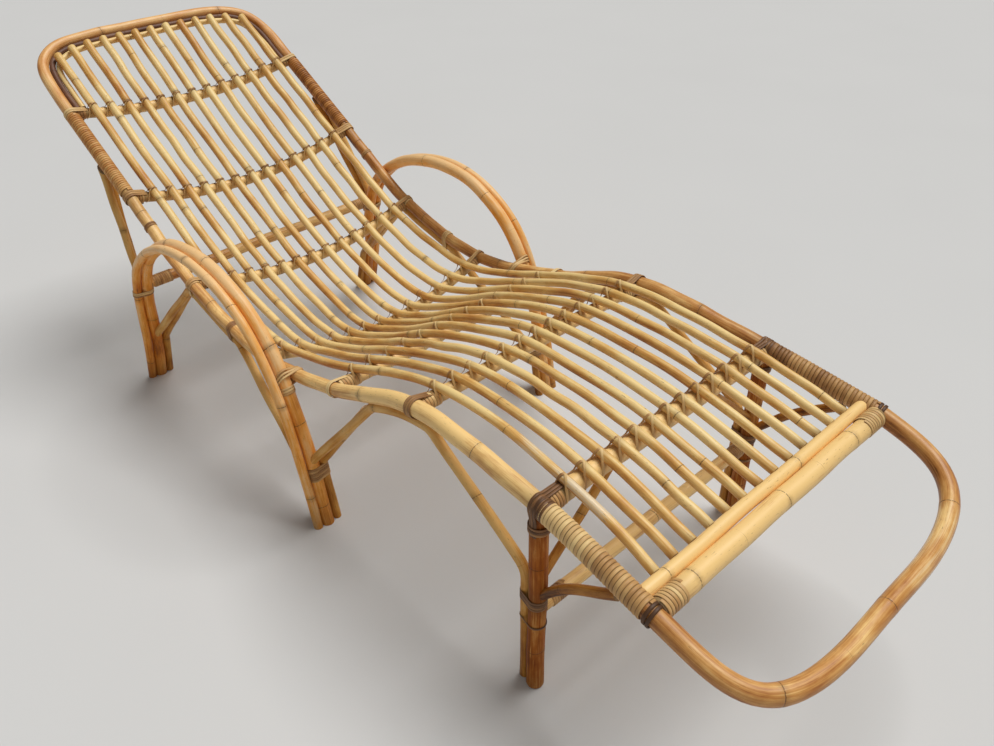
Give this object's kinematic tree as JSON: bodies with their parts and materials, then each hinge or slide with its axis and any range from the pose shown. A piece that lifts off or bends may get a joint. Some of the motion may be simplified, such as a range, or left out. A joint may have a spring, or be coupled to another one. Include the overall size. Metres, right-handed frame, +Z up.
{
  "type": "rattan chaise longue",
  "caption": "Long reclining lounge seat of bent rattan canes: slatted back, seat and leg rest, hooped arms that form legs, and a bowed foot rail.",
  "frame": {"origin": "on the floor, under the middle of the object's box", "axes": "+X towards the foot end, +Y to the sitter's left, +Z up"},
  "size_m": [1.8943, 0.6312, 0.6482],
  "materials": {
    "rail_cane": "satin varnished rattan, honey tan",
    "slat_cane": "satin rattan, pale straw",
    "arm_cane": "satin varnished rattan, orange honey",
    "brace_cane": "satin rattan, brown",
    "leg_cane": "worn varnished rattan, dark brown",
    "liner_cane": "dark brown rattan",
    "tan_peel": "matt rattan peel, tan",
    "brown_peel": "matt rattan peel, brown"
  },
  "bodies": {
    "root": {"side_rail_left": "rail_cane", "side_rail_right": "rail_cane", "head_bow": "rail_cane", "foot_bow": "rail_cane", "head_liner_cane": "liner_cane", "head_inner_cane": "rail_cane", "back_crossbar_upper": "rail_cane", "back_crossbar_middle": "rail_cane", "back_crossbar_lower": "rail_cane", "seat_crossbar_rear": "rail_cane", "seat_crossbar_middle": "rail_cane", "knee_crossbar": "rail_cane", "leg_crossbar": "rail_cane", "foot_crossbar": "rail_cane", "slat_end_cane": "rail_cane", "slat_01": "slat_cane", "slat_02": "slat_cane", "slat_03": "slat_cane", "slat_04": "slat_cane", "slat_05": "slat_cane", "slat_06": "slat_cane", "slat_07": "slat_cane", "slat_08": "slat_cane", "slat_09": "slat_cane", "slat_10": "slat_cane", "slat_11": "slat_cane", "slat_12": "slat_cane", "slat_13": "slat_cane", "arm_hoop_left": "arm_cane", "arm_hoop_right": "arm_cane", "arm_rim_left": "arm_cane", "arm_rim_right": "arm_cane", "back_stay_left": "brace_cane", "back_stay_right": "brace_cane", "back_stay_rear_left": "brace_cane", "back_stay_rear_right": "brace_cane", "seat_brace_left": "brace_cane", "seat_brace_right": "brace_cane", "rear_leg_strut_left": "brace_cane", "rear_leg_strut_right": "brace_cane", "knee_brace_left": "brace_cane", "knee_brace_right": "brace_cane", "arm_leg_strut_left": "brace_cane", "arm_leg_strut_right": "brace_cane", "front_leg_left": "leg_cane", "front_leg_right": "leg_cane", "foot_brace_left": "brace_cane", "foot_brace_right": "brace_cane", "leg_diagonal_left": "brace_cane", "leg_diagonal_right": "brace_cane", "head_splice_binding_left": "brown_peel", "head_splice_binding_right": "brown_peel", "foot_splice_binding_left": "tan_peel", "foot_splice_binding_right": "tan_peel", "rear_stretcher": "rail_cane", "front_stretcher": "rail_cane"}
  },
  "joints": []
}
